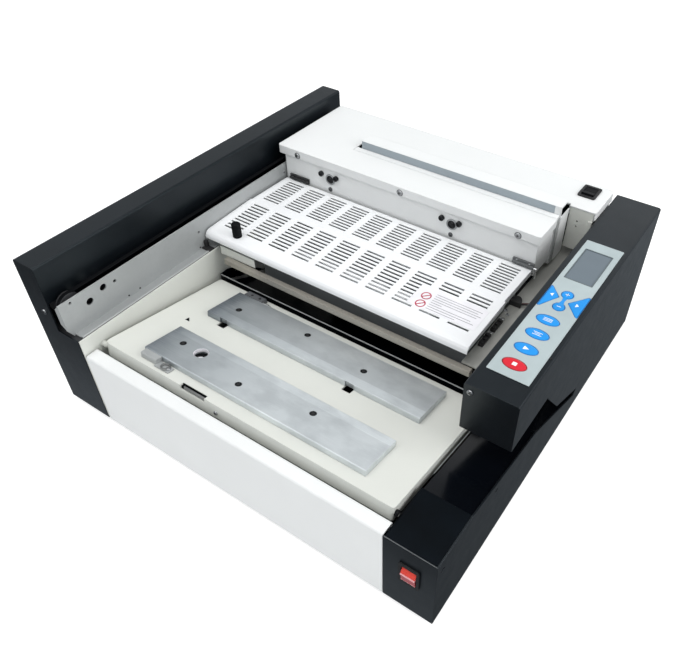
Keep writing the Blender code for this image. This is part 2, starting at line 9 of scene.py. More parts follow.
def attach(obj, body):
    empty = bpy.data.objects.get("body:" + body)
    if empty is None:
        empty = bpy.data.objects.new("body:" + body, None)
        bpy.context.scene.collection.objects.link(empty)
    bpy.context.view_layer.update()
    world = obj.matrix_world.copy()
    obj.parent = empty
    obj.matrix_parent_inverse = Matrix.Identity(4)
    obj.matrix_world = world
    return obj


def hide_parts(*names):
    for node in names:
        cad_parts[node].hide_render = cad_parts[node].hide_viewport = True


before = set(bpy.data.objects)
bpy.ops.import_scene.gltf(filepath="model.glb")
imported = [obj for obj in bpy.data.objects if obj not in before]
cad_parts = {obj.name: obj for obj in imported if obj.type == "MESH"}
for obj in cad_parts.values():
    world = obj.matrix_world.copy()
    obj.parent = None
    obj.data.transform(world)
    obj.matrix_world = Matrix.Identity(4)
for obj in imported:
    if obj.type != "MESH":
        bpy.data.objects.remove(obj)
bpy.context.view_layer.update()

MM = 0.001
# Machine axes in millimetres: X from the left face, Y from the front face, Z from the underside of the body.
HALF_WIDTH = 300.0
HALF_DEPTH = 300.0
FOOT_HEIGHT = 8.0
BODY_DEPTH = 600.0
# Nip table, modelled level: pivot line (Y, Z), rest tilt in degrees, and its heights.
TABLE_PIVOT = (30.0, 120.0)
TABLE_TILT = 8.9
TABLE_TOP = 128.5
PLATE_TOP = 136.8
PLATE_LEFT = 142.0
PLATE_HOLE = (203.8, 79.3)
# Console: top of its film, the foot of the signs on the keys, and the middle line of the oval keys.
FILM_TOP = 211.9
SIGN_FOOT = 212.44
SIGN_TOP = 212.54
KEY_LINE = 567.0
# Carriage: its folded lip, its front wall and the line of the lid's hinges (Y, Z).
LIP_FACE = 422.5
FRONT_WALL = 425.0
HINGE_LINE = (421.5, 172.5)
KNOB_CENTRE = (110.0, 257.0)
# Foot of the fittings on the steel ledge beside the stations, and the belt drive in the left bay.
LEDGE_FOOT = 140.1
PULLEY_FRONT = 21.0
PULLEY_REAR = 574.0
PULLEY_HEIGHT = 180.0

SMOOTH_BELOW = math.radians(35)
BEVEL_ABOVE = math.radians(40)
BEVEL_SEGMENTS = 2
CORNER_STEPS = 4


def at(x, y, z):
    return Vector(((x - HALF_WIDTH) * MM, (y - HALF_DEPTH) * MM, (z + FOOT_HEIGHT) * MM))


# ---------------------------------------------------------------- materials


class Shade:
    """Small builder for one procedural material."""

    def __init__(self, name, colour, roughness, metallic=0.0, specular=0.5):
        self.material = bpy.data.materials.new(name)
        self.material.use_nodes = True
        self.tree = self.material.node_tree
        self.shader = self.tree.nodes["Principled BSDF"]
        self.shader.inputs["Base Color"].default_value = (*colour, 1.0)
        self.shader.inputs["Roughness"].default_value = roughness
        self.shader.inputs["Metallic"].default_value = metallic
        self.shader.inputs["Specular IOR Level"].default_value = specular
        self.colour = colour
        self.coords = self.tree.nodes.new("ShaderNodeTexCoord").outputs["Object"]
        self.normal = None

    def link(self, output, target):
        self.tree.links.new(output, target)

    def noise(self, scale, detail=3.0, stretch=(1.0, 1.0, 1.0)):
        mapping = self.tree.nodes.new("ShaderNodeMapping")
        mapping.inputs["Scale"].default_value = stretch
        self.link(self.coords, mapping.inputs["Vector"])
        node = self.tree.nodes.new("ShaderNodeTexNoise")
        node.inputs["Scale"].default_value = scale
        node.inputs["Detail"].default_value = detail
        self.link(mapping.outputs["Vector"], node.inputs["Vector"])
        return node.outputs["Fac"]

    def ramp(self, source, low, high, start=0.3, end=0.7):
        node = self.tree.nodes.new("ShaderNodeMapRange")
        node.inputs["From Min"].default_value = start
        node.inputs["From Max"].default_value = end
        node.inputs["To Min"].default_value = low
        node.inputs["To Max"].default_value = high
        self.link(source, node.inputs["Value"])
        return node.outputs["Result"]

    def mix(self, factor, first, second):
        node = self.tree.nodes.new("ShaderNodeMix")
        node.data_type = "RGBA"
        for socket, value in ((node.inputs[6], first), (node.inputs[7], second)):
            if isinstance(value, tuple):
                socket.default_value = (*value, 1.0)
            else:
                self.link(value, socket)
        self.link(factor, node.inputs[0])
        return node.outputs[2]

    def math(self, operation, first, second, third=None):
        """Math node on three outputs or numbers."""
        node = self.tree.nodes.new("ShaderNodeMath")
        node.operation = operation
        for socket, value in zip(node.inputs, (first, second, third)):
            if isinstance(value, float):
                socket.default_value = value
            elif value is not None:
                self.link(value, socket)
        return node.outputs[0]

    def axes(self):
        """The object's X, Y and Z as three outputs."""
        node = self.tree.nodes.new("ShaderNodeSeparateXYZ")
        self.link(self.coords, node.inputs[0])
        return node.outputs

    def tint(self, colour_output):
        self.link(colour_output, self.shader.inputs["Base Color"])

    def vary(self, scale, amount):
        """Light and dark patches round the base colour."""
        dark = tuple(c * (1 - amount) for c in self.colour)
        light = tuple(min(1.0, c * (1 + amount)) for c in self.colour)
        self.tint(self.mix(self.ramp(self.noise(scale), 0, 1), dark, light))

    def rough(self, scale, low, high):
        self.link(self.ramp(self.noise(scale), low, high), self.shader.inputs["Roughness"])

    def rounded_edges(self, radius):
        node = self.tree.nodes.new("ShaderNodeBevel")
        node.samples = 4
        node.inputs["Radius"].default_value = radius
        self.normal = node.outputs["Normal"]
        self.link(self.normal, self.shader.inputs["Normal"])

    def bump(self, scale, strength, distance=0.0002, stretch=(1.0, 1.0, 1.0), detail=2.0):
        node = self.tree.nodes.new("ShaderNodeBump")
        node.inputs["Strength"].default_value = strength
        node.inputs["Distance"].default_value = distance
        self.link(self.noise(scale, detail, stretch), node.inputs["Height"])
        if self.normal is not None:
            self.link(self.normal, node.inputs["Normal"])
        self.normal = node.outputs["Normal"]
        self.link(self.normal, self.shader.inputs["Normal"])


def powder_coat(name, colour, roughness, grain=900, strength=0.25, edge=0.0008, vary=0.05, specular=0.5,
                gleam=None):
    """Powder-coated sheet; gleam tints its reflections."""
    shade = Shade(name, colour, roughness, specular=specular)
    if gleam:
        shade.shader.inputs["Specular Tint"].default_value = (*gleam, 1.0)
    shade.vary(14, vary)
    shade.rough(60, roughness - 0.02, roughness + 0.03)
    shade.rounded_edges(edge)
    shade.bump(grain, strength, 0.00012)
    return shade.material


def brushed(name, colour, roughness, stretch, vary=0.12, metallic=1.0):
    """Metal with streaks along the axis where stretch is smallest."""
    shade = Shade(name, colour, roughness, metallic)
    streaks = shade.noise(60, 4.0, stretch)
    clouds = shade.noise(9, 2.0)
    dark = tuple(c * (1 - vary) for c in colour)
    light = tuple(min(1.0, c * (1 + vary)) for c in colour)
    first = shade.mix(shade.ramp(streaks, 0, 1), dark, light)
    shade.tint(shade.mix(shade.ramp(clouds, 0, 0.5), first, tuple(c * 0.82 for c in colour)))
    shade.link(shade.ramp(streaks, roughness - 0.07, roughness + 0.1), shade.shader.inputs["Roughness"])
    shade.rounded_edges(0.0005)
    shade.bump(60, 0.12, 0.0001, stretch, 4.0)
    return shade.material


def plastic(name, colour, roughness, grain=1500, strength=0.08, edge=0.0005, coat=0.0, specular=0.5):
    shade = Shade(name, colour, roughness, specular=specular)
    shade.vary(30, 0.06)
    shade.rough(120, max(0.02, roughness - 0.04), roughness + 0.05)
    shade.rounded_edges(edge)
    shade.bump(grain, strength, 0.00008)
    shade.shader.inputs["Coat Weight"].default_value = coat
    return shade.material


COOL_GLEAM = (0.82, 0.93, 1.0)
CHARCOAL = powder_coat("charcoal_powder", (0.0035, 0.0050, 0.0070), 0.33, 1300, 0.35, 0.0011, 0.2, 0.42,
                       COOL_GLEAM)
DEEP_BLACK = powder_coat("deep_black_powder", (0.0016, 0.0030, 0.0050), 0.42, 900, 0.6, 0.0008, 0.6, 0.07,
                         COOL_GLEAM)
# Light grey for the folded front edge: a painted highlight where the fold catches light.
FOLD_HIGHLIGHT = powder_coat("painted_fold_highlight", (0.16, 0.165, 0.17), 0.4, 900, 0.2, 0.0002, 0.4)
GLOSS = powder_coat("gloss_black_chute", (0.0015, 0.0022, 0.0038), 0.15, 500, 0.04, 0.0006, 0.2, 0.3)
WHITE = powder_coat("white_powder", (0.78, 0.79, 0.785), 0.42, 1100, 0.12, 0.0012, 0.012)
BEIGE = powder_coat("warm_grey_powder", (0.66, 0.67, 0.625), 0.42, 1100, 0.14, 0.001, 0.02)
LID_WHITE = powder_coat("lid_white_powder", (0.83, 0.84, 0.85), 0.38, 1100, 0.1, 0.0004, 0.012)
DARK = powder_coat("dark_painted_steel", (0.03, 0.031, 0.034), 0.5, 700, 0.2, 0.0006, 0.15)
DARK_GREY = powder_coat("dark_grey_plate", (0.10, 0.105, 0.11), 0.45, 700, 0.15, 0.0006, 0.08)
STEEL = brushed("brushed_bar_steel", (0.50, 0.53, 0.55), 0.34, (3, 60, 60))
SHINY = brushed("bright_steel", (0.66, 0.67, 0.68), 0.24, (20, 60, 60), 0.06)
GALVANISED = brushed("galvanised_sheet", (0.43, 0.445, 0.445), 0.5, (1, 3, 3), 0.05, metallic=0.35)
LEDGE = brushed("ledge_zinc", (0.38, 0.38, 0.355), 0.5, (3, 1, 3), 0.08, metallic=0.3)
STRIP = brushed("worn_strip_steel", (0.40, 0.375, 0.33), 0.42, (4, 30, 30), 0.2, metallic=0.55)
RUBBER = plastic("matte_rubber", (0.014, 0.014, 0.014), 0.75, 900, 0.4)
BLACK = plastic("black_moulded", (0.004, 0.0045, 0.0055), 0.42, specular=0.10)
MATTE_BLACK = plastic("black_matte_moulded", (0.012, 0.012, 0.013), 0.55, 700, 0.3)
FILM = plastic("console_film", (0.40, 0.465, 0.475), 0.45, 2600, 0.12, 0.0003, specular=0.35)
# Dark grey for the frame round the display window, darkened as painted shade of the recessed window.
WINDOW_FRAME_SHADE = plastic("window_frame_painted_shade", (0.10, 0.125, 0.135), 0.45)
FILM_LIGHT = plastic("film_border_print", (0.50, 0.56, 0.57), 0.45)
KEY_BLUE = plastic("key_blue_dome", (0.012, 0.27, 0.72), 0.4, 1800, 0.06, 0.0004, specular=0.35)
KEY_RED = plastic("key_red_dome", (0.62, 0.012, 0.028), 0.4, 1800, 0.06, 0.0004, specular=0.35)
KEY_RIM = plastic("key_rim_print", (0.012, 0.17, 0.50), 0.45)
KEY_RIM_RED = plastic("key_rim_red", (0.34, 0.010, 0.02), 0.35)
PRINT = plastic("white_print", (0.85, 0.87, 0.88), 0.4)
PRINT_GREY = plastic("grey_print", (0.30, 0.30, 0.32), 0.5)
PRINT_RED = plastic("red_print", (0.46, 0.03, 0.07), 0.45)
LEAD_RED = plastic("lead_insulation_red", (0.055, 0.012, 0.012), 0.5)
LABEL = plastic("label_paper", (0.80, 0.79, 0.82), 0.5, 500, 0.05)
SCREW_STEEL = brushed("screw_head", (0.42, 0.43, 0.44), 0.3, (30, 30, 30), 0.1)
CATCH = brushed("catch_steel", (0.26, 0.265, 0.26), 0.34, (30, 8, 8), 0.2, metallic=0.8)
# Blue-grey for the white jaw's face above the cover: painted shade.
JAW_FACE_SHADE = brushed("jaw_face_painted_shade", (0.34, 0.385, 0.42), 0.4, (2, 40, 40), 0.08, metallic=0.5)
# Dark steel for the lock screws, and for thin rings of painted shade round screw heads.
DARK_SCREW_AND_SEAT_SHADE = brushed("dark_screw_steel_and_seat_shade", (0.13, 0.135, 0.14), 0.42, (30, 30, 30), 0.15)
# Lighter red and pale pink for the rocker cap: painted light and painted highlights.
CAP_PAINTED_LIGHT = plastic("red_cap_painted_light", (0.74, 0.060, 0.040), 0.22, 900, 0.05, 0.0008, 0.6)
CAP_PAINTED_HIGHLIGHT = plastic("red_cap_painted_highlight", (0.86, 0.42, 0.44), 0.25, 900, 0.05)
BLACK_SCREW = brushed("black_oxide_screw", (0.035, 0.036, 0.038), 0.35, (30, 30, 30), 0.2)


def display_glass():
    shade = Shade("display_window", (0.135, 0.168, 0.195), 0.2, specular=0.3)
    shade.vary(9, 0.08)
    shade.rough(40, 0.1, 0.16)
    shade.rounded_edges(0.0005)
    return shade.material


def red_lens():
    shade = Shade("translucent_red_cap", (0.36, 0.004, 0.010), 0.16)
    shade.vary(90, 0.15)
    shade.rough(60, 0.12, 0.2)
    shade.rounded_edges(0.0006)
    shade.shader.inputs["Coat Weight"].default_value = 1.0
    shade.shader.inputs["Coat Roughness"].default_value = 0.06
    return shade.material


def ground_plate(name, lift):
    """Ground steel bar with streaks and clouds; the dark, bluish left end and the lighter steel to the right
    are painted shade and reflection of the dark left cover, and the brightness scale is painted light.
    """
    shade = Shade(name, (0.40, 0.43, 0.44), 0.36, 0.6)
    left_end = (PLATE_LEFT - HALF_WIDTH) * MM
    body_start = left_end + 0.034
    clouds = shade.noise(16, 3.0)
    wave = shade.math("MULTIPLY_ADD", clouds, 0.05, shade.axes()[0])
    to_body = shade.ramp(wave, 0, 1, left_end + 0.02, body_start + 0.03)
    to_end = shade.ramp(wave, 0, 1, body_start, body_start + 0.16)
    # Painted shade and reflection: dark blue at the left end, then steel brightened by the scale, lighter
    # again towards the right.
    base = shade.mix(to_body, (0.062, 0.088, 0.118), tuple(c * lift for c in (0.25, 0.275, 0.29)))
    base = shade.mix(to_end, base, tuple(c * lift for c in (0.53, 0.56, 0.57)))
    streaks = shade.noise(70, 5.0, (0.5, 22, 22))
    base = shade.mix(shade.ramp(streaks, 0, 0.30), base, (0.64, 0.67, 0.68))
    blotches = shade.noise(26, 6.0, (1.0, 1.6, 1.6))
    base = shade.mix(shade.ramp(blotches, 0, 0.26, 0.42, 0.66), base, (0.22, 0.245, 0.265))
    shade.tint(shade.mix(shade.ramp(clouds, 0, 0.24), base, (0.30, 0.32, 0.34)))
    shade.link(shade.ramp(clouds, 0.34, 0.46), shade.shader.inputs["Roughness"])
    shade.rounded_edges(0.0006)
    shade.bump(70, 0.06, 0.0001, (0.5, 22, 22), 5.0)
    return shade.material


DISPLAY = display_glass()
RED_CAP = red_lens()
# Three copies of one steel, each brightened by its own scale to how bright it looks: lit and shaded copies,
# painted light.
PLATE = ground_plate("ground_steel_plate", 1.45)
REAR_PLATE = ground_plate("ground_rear_plate", 1.28)
BAND = ground_plate("ground_band", 1.62)

NODE_FINISH = {
    CHARCOAL: ("left_cover", "right_side_cover", "rear_panel"),
    DEEP_BLACK: ("right_front_top",),
    GLOSS: ("paper_chute",),
    WHITE: ("front_panel", "carriage_cover", "carriage_front_wall", "moving_jaw", "fixed_jaw"),
    LID_WHITE: ("lid",),
    BEIGE: ("nip_table", "inner_wall_left", "carriage_side_box"),
    DARK: ("base_pan", "left_deck", "carriage_motor", "console_floor", "table_lift_actuator", "milling_motor",
           "jaw_gearbox", "carriage_frame", "rail_left", "belt_pulley_front", "belt_pulley_rear"),
    GALVANISED: ("guide_plate_left", "cover_stop_front"),
    STEEL: ("rail_right", "milling_drum"),
    STRIP: ("front_strip",),
    LEDGE: ("station_deck",),
    SHINY: ("table_lift_plunger", "glue_roller_front", "glue_roller_rear"),
    PLATE: ("nip_plate_front",),
    REAR_PLATE: ("nip_plate_rear",),
    RUBBER: ("foot_front_left", "foot_front_right", "foot_rear_left", "foot_rear_right", "drive_belt"),
    MATTE_BLACK: ("power_inlet", "hinge_left", "power_switch_bezel", "carriage_switch_bezel"),
    BLACK: ("lid_knob", "carriage_switch_rocker"),
    DARK_GREY: ("hinge_right", "glue_tank"),
    FILM: ("console_overlay",),
    DISPLAY: ("lcd_module",),
}

for finish, names in NODE_FINISH.items():
    for node_name in names:
        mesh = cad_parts[node_name].data
        mesh.materials.clear()
        mesh.materials.append(finish)

# ---------------------------------------------------------------- shapes


def spread(axis, a, b, along):
    """Point from its two cross coordinates and its place along an axis."""
    if axis == "X":
        return (along, a, b)
    if axis == "Y":
        return (a, along, b)
    return (a, b, along)


def circle(a, b, radius, sides, radius_b=None):
    radius_b = radius_b or radius
    steps = [2 * math.pi * (i + 0.5) / sides for i in range(sides)]
    return [(a + radius * math.cos(t), b + radius_b * math.sin(t)) for t in steps]


def half_oval(a, b, radius_a, radius_b, steps=14):
    turns = [math.pi * k / steps for k in range(steps + 1)]
    return [(a + radius_a * math.cos(t), b + radius_b * math.sin(t)) for t in turns]


def toothed(a, b, tip, root, teeth):
    """Outline of a gear wheel, one point to each tip and root."""
    result = []
    for k in range(2 * teeth):
        radius = tip if k % 2 else root
        t = math.pi * k / teeth
        result.append((a + radius * math.cos(t), b + radius * math.sin(t)))
    return result


def closed(bm):
    """The same mesh with its faces turned outward."""
    bmesh.ops.recalc_face_normals(bm, faces=bm.faces)
    return bm


def prism(axis, outline, start, end):
    bm = bmesh.new()
    near = [bm.verts.new(spread(axis, a, b, start)) for a, b in outline]
    far = [bm.verts.new(spread(axis, a, b, end)) for a, b in outline]
    bm.faces.new(near)
    bm.faces.new(far)
    for i in range(len(outline)):
        j = (i + 1) % len(outline)
        bm.faces.new((near[i], near[j], far[j], far[i]))
    return closed(bm)


def block(x0, x1, y0, y1, z0, z1):
    return prism("Z", [(x0, y0), (x1, y0), (x1, y1), (x0, y1)], z0, z1)


def stacked(axis, rings):
    """Closed body through a list of (outline, position along the axis)."""
    bm = bmesh.new()
    loops = [[bm.verts.new(spread(axis, a, b, along)) for a, b in outline] for outline, along in rings]
    bm.faces.new(loops[0])
    bm.faces.new(loops[-1])
    for lower, upper in zip(loops, loops[1:]):
        for i in range(len(lower)):
            j = (i + 1) % len(lower)
            bm.faces.new((lower[i], lower[j], upper[j], upper[i]))
    return closed(bm)


def turned(axis, a, b, profile, sides=24):
    """Round body from a profile of (radius, position along the axis)."""
    return stacked(axis, [(circle(a, b, radius, sides), along) for radius, along in profile])


def ring_plate(outer, inner, z0, z1):
    """Flat ring between two outlines with the same number of points."""
    bm = bmesh.new()
    loops = []
    for outline, z in ((outer, z0), (outer, z1), (inner, z1), (inner, z0)):
        loops.append([bm.verts.new((x, y, z)) for x, y in outline])
    for k in range(4):
        first, second = loops[k], loops[(k + 1) % 4]
        for i in range(len(outer)):
            j = (i + 1) % len(outer)
            bm.faces.new((first[i], first[j], second[j], second[i]))
    return closed(bm)


def merged(*shapes):
    bm = shapes[0]
    for extra in shapes[1:]:
        mesh = bpy.data.meshes.new("join")
        extra.to_mesh(mesh)
        extra.free()
        bm.from_mesh(mesh)
        bpy.data.meshes.remove(mesh)
    return bm


def tilt_matrix():
    """Turns level table coordinates, in machine millimetres, into the tilted rest place."""
    pivot = Vector((0, *TABLE_PIVOT))
    tilt = Matrix.Rotation(-math.radians(TABLE_TILT), 4, "X")
    return Matrix.Translation(pivot) @ tilt @ Matrix.Translation(-pivot)


def piece(name, body, slot, finish, *shapes, bevel=0.0, on_table=False, stands_for=(), matrix=None):
    """One visible piece from shapes in machine millimetres; it rides its body and has its own finish."""
    bm = merged(*shapes)
    if matrix is not None:
        bmesh.ops.transform(bm, matrix=matrix, verts=bm.verts)
    if on_table:
        bmesh.ops.transform(bm, matrix=tilt_matrix(), verts=bm.verts)
    for vert in bm.verts:
        vert.co = at(*vert.co)
    mesh = bpy.data.meshes.new(name)
    bm.to_mesh(mesh)
    bm.free()
    mesh.materials.append(finish)
    mesh.shade_smooth()
    mesh.set_sharp_from_angle(angle=SMOOTH_BELOW)
    obj = bpy.data.objects.new(name, mesh)
    bpy.context.scene.collection.objects.link(obj)
    if bevel:
        modifier = obj.modifiers.new("edges", "BEVEL")
        modifier.width = bevel * MM
        modifier.segments = BEVEL_SEGMENTS
        modifier.limit_method = "ANGLE"
        modifier.angle_limit = BEVEL_ABOVE
    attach(obj, body)
    for node in stands_for:
        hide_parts(node)


def turn_to(axis, centre):
    """Matrix that takes shapes made round local +Z to a place and facing in the machine."""
    degrees, about = {"+Z": (0, "X"), "-Y": (90, "X"), "+Y": (-90, "X"), "+X": (90, "Y")}[axis]
    return Matrix.Translation(Vector(centre)) @ Matrix.Rotation(math.radians(degrees), 4, about)


def pan_head(radius, height):
    profile = [(radius, 0), (radius, height * 0.35), (radius * 0.86, height * 0.75), (radius * 0.5, height)]
    return turned("Z", 0, 0, profile, 20)


def cross_slot(radius, height):
    arm = radius * 0.55
    half = radius * 0.13
    return merged(block(-arm, arm, -half, half, height - 0.3, height + 0.05),
                  block(-half, half, -arm, arm, height - 0.3, height + 0.05))


def pan_screw(name, body, facing, centre, radius, finish=None, height=None, on_table=False, shade_ring=False):
    """Cross-recess screw head; the recess is a black cross of painted shade, and a thin dark ring of painted
    shade lies round the head if asked.
    """
    height = height or radius * 0.55
    place = turn_to(facing, centre)
    finish = finish or SCREW_STEEL
    piece(name, body, "brushed_steel", finish, pan_head(radius, height), matrix=place, on_table=on_table)
    # Black cross over the recess: painted shade.
    piece(name + "_recess_shade", body, "black_plastic", MATTE_BLACK, cross_slot(radius, height), matrix=place,
          on_table=on_table)
    # Thin dark ring round the head: painted contact shade.
    if shade_ring:
        seat = ring_plate(circle(0, 0, radius + 0.7, 28), circle(0, 0, radius - 0.2, 28), 0, 0.3)
        piece(name + "_washer", body, "brushed_steel", DARK_SCREW_AND_SEAT_SHADE, seat, matrix=place, on_table=on_table)


# ---------------------------------------------------------------- console

KEY_RIM_WIDTH = 1.0
KEY_GAP = 0.45


def fillet(points, radius):
    """Outline with every corner rounded."""
    result = []
    for i, corner in enumerate(points):
        before, after = points[i - 1], points[(i + 1) % len(points)]
        u = Vector(before) - Vector(corner)
        v = Vector(after) - Vector(corner)
        half = u.angle(v) / 2
        back = radius / math.tan(half)
        start = Vector(corner) + u.normalized() * back
        end = Vector(corner) + v.normalized() * back
        centre = Vector(corner) + (u.normalized() + v.normalized()).normalized() * radius / math.sin(half)
        for k in range(CORNER_STEPS + 1):
            mid = start.lerp(end, k / CORNER_STEPS) - centre
            result.append(tuple(centre + mid.normalized() * radius))
    return result


def scaled(outline, factor, extra=0.0):
    """Outline scaled about its middle, after growing it by a margin."""
    xs = [p[0] for p in outline]
    ys = [p[1] for p in outline]
    cx, cy = (min(xs) + max(xs)) / 2, (min(ys) + max(ys)) / 2
    half_x, half_y = max(xs) - cx, max(ys) - cy
    fx = factor * (1 + extra / half_x)
    fy = factor * (1 + extra / half_y)
    return [(cx + (x - cx) * fx, cy + (y - cy) * fy) for x, y in outline]


KEYS = {
    "key_left": fillet([(544.5, 355), (544.5, 306.5), (560.2, 337)], 1.3),
    "key_right": fillet([(593.0, 311), (593.0, 358), (574.8, 332)], 1.3),
    "key_plus": circle(567.8, 346, 7, 28),
    "key_minus": circle(567.7, 320, 7, 28),
    "key_menu": circle(KEY_LINE, 291, 13.8, 36, 7.9),
    "key_set": circle(KEY_LINE, 262.7, 13.8, 36, 7.9),
    "key_start": circle(KEY_LINE, 233.9, 13.8, 36, 7.9),
    "key_stop": circle(KEY_LINE, 205, 13.8, 36, 7.9),
}


def build_keys():
    for name, outline in KEYS.items():
        is_stop = name == "key_stop"
        rings = [(outline, 209), (outline, FILM_TOP), (scaled(outline, 0.965), 212.25),
                 (scaled(outline, 0.85), 212.42), (scaled(outline, 0.55), 212.5)]
        slot = "key_red" if is_stop else "key_blue"
        dome = stacked("Z", rings)
        piece(name + "_dome", name, slot, KEY_RED if is_stop else KEY_BLUE, dome, stands_for=(name,))
        outer, inner = scaled(outline, 1, KEY_RIM_WIDTH), scaled(outline, 1, KEY_GAP)
        rim = ring_plate(outer, inner, FILM_TOP - 0.2, FILM_TOP + 0.06)
        piece(name + "_rim", "body", slot, KEY_RIM_RED if is_stop else KEY_RIM, rim)
    link = [(564.6, 340.0), (566.0, 333), (564.6, 326.0), (570.9, 326.0), (569.6, 333), (571.0, 340.0)]
    piece("key_link_print", "body", "key_blue", KEY_BLUE, prism("Z", link, FILM_TOP - 0.2, FILM_TOP + 0.1))


def bar(cx, cy, half_x, half_y):
    return block(cx - half_x, cx + half_x, cy - half_y, cy + half_y, SIGN_FOOT, SIGN_TOP)


def arrow(*corners):
    return prism("Z", corners, SIGN_FOOT, SIGN_TOP)


def three_bars(y, half_widths):
    return [bar(KEY_LINE, y + 2.2 * (1 - k), half, 0.45) for k, half in enumerate(half_widths)]


def build_key_symbols():
    """Plain signs in place of words: plus, minus, arrows, bars, a square."""
    signs = {
        "plus": [bar(567.8, 346, 2.6, 0.5), bar(567.8, 346, 0.5, 2.6)],
        "minus": [bar(567.7, 320, 2.6, 0.5)],
        "left": [arrow((549.0, 337), (553.0, 340.4), (553.0, 333.6))],
        "right": [arrow((587.6, 333), (583.6, 336.4), (583.6, 329.6))],
        "menu": three_bars(291, (5.5, 5.5, 5.5)),
        "set": three_bars(262.7, (5.5, 3.5, 5.5)),
        "start": [arrow((563.8, 237), (563.8, 230.8), (570.4, 233.9))],
        "stop": [bar(KEY_LINE, 205, 2.6, 2.6)],
    }
    for key, shapes in signs.items():
        piece("sign_" + key, "key_" + key, "console_overlay_film", PRINT, *shapes)


def build_console():
    build_keys()
    build_key_symbols()
    window = fillet([(549.2, 376.2), (586.8, 376.2), (586.8, 448.8), (549.2, 448.8)], 1.2)
    hole = fillet([(550.7, 377.7), (585.3, 377.7), (585.3, 447.3), (550.7, 447.3)], 0.8)
    # Frame round the display window; its dark grey is painted shade of the recess.
    frame_shade = ring_plate(window, hole, 211.4, FILM_TOP + 0.15)
    piece("display_frame", "body", "console_overlay_film", WINDOW_FRAME_SHADE, frame_shade)
    edge_outer = fillet([(543.6, 184.1), (593.9, 184.1), (593.9, 467.9), (543.6, 467.9)], 1)
    edge_inner = fillet([(544.0, 184.5), (593.5, 184.5), (593.5, 467.5), (544.0, 467.5)], 0.7)
    border = ring_plate(edge_outer, edge_inner, 211.5, FILM_TOP + 0.04)
    piece("film_border", "body", "console_overlay_film", FILM_LIGHT, border)
    pan_screw("console_front_screw", "body", "-Y", (543, 152, 200), 3.6)
    pan_screw("console_edge_screw", "body", "+Z", (596, 235, 211), 1.7, BLACK_SCREW)


# ---------------------------------------------------------------- carriage


def build_carriage():
    for index, x in enumerate((89, 277, 464)):
        pan_screw(f"lip_screw_{index}", "carriage", "-Y", (x, LIP_FACE, 213.5), 4.4, shade_ring=True)
    for side, x in (("left", 133), ("right", 347)):
        build_adjuster(side, x)
    strip = block(495.2, 496.2, 476.5, 484.5, 148, 220)
    piece("fixed_jaw_end_strip", "carriage", "brushed_steel", GALVANISED, strip, bevel=0.3)
    cap = prism("Y", [(470, 147.5), (494.2, 147.5), (494.2, 204), (470, 204)], 500.0, 501.2)
    piece("moving_jaw_back_plate", "jaw", "brushed_steel", GALVANISED, cap, bevel=0.3)
    # Thin blue-grey skin on the white jaw's face: painted shade of that face.
    face = block(166.4, 486.0, 485.65, 485.95, 222.3, 233.7)
    piece("moving_jaw_face_shade", "jaw", "brushed_steel", JAW_FACE_SHADE, face)
    end = block(495.2, 496.5, 487.0, 515.0, 147.5, 219.2)
    piece("clamp_end_plate", "carriage", "white_powder_coat", WHITE, end, bevel=0.4)
    flange = block(526.0, 531.2, 515.2, 517.0, 170, 208)
    piece("side_box_flange", "carriage", "beige_powder_coat", BEIGE, flange, bevel=0.4)
    for index, (x, y) in enumerate(((70, 588), (300, 588), (515, 588))):
        pan_screw(f"rear_wall_screw_{index}", "carriage", "+Y", (x, y, 200), 2.6)
    build_hinges()
    build_side_flange()


def build_adjuster(side, x):
    """Clamp stop adjuster: two black cap screws, a ring and hub between them, and a lock screw below."""
    name = f"adjuster_{side}"
    middle = turn_to("-Y", (x + 16.5, FRONT_WALL, 191.5))
    cap_screw(name + "_screw_a", (x, 197), 4.2)
    ring = ring_plate(circle(0, 0, 8.6, 36), circle(0, 0, 6.4, 36), 0.0, 1.6)
    piece(name + "_ring", "carriage", "brushed_steel", SCREW_STEEL, ring, matrix=middle, bevel=0.3)
    hub = turned("Z", 0, 0, [(6.2, 0), (6.2, 0.6), (4.6, 1.0), (3.6, 2.4), (2.4, 2.8)], 28)
    piece(name + "_hub", "carriage", "black_plastic", BLACK_SCREW, hub, matrix=middle)
    cap_screw(name + "_screw_b", (x + 28, 197), 4.2)
    pan_screw(name + "_lock", "carriage", "-Y", (x + 15.5, FRONT_WALL, 174), 3.6, DARK_SCREW_AND_SEAT_SHADE)


def cap_screw(name, place, radius):
    """Black socket cap screw standing out of the front wall."""
    x, z = place
    profile = [(1, 0), (1, 3.6), (0.88, 4.2), (0.55, 4.2), (0.5, 2.8)]
    head = turned("Z", 0, 0, [(radius * share, height) for share, height in profile])
    piece(name, "carriage", "brushed_steel", BLACK_SCREW, head, matrix=turn_to("-Y", (x, FRONT_WALL, z)))


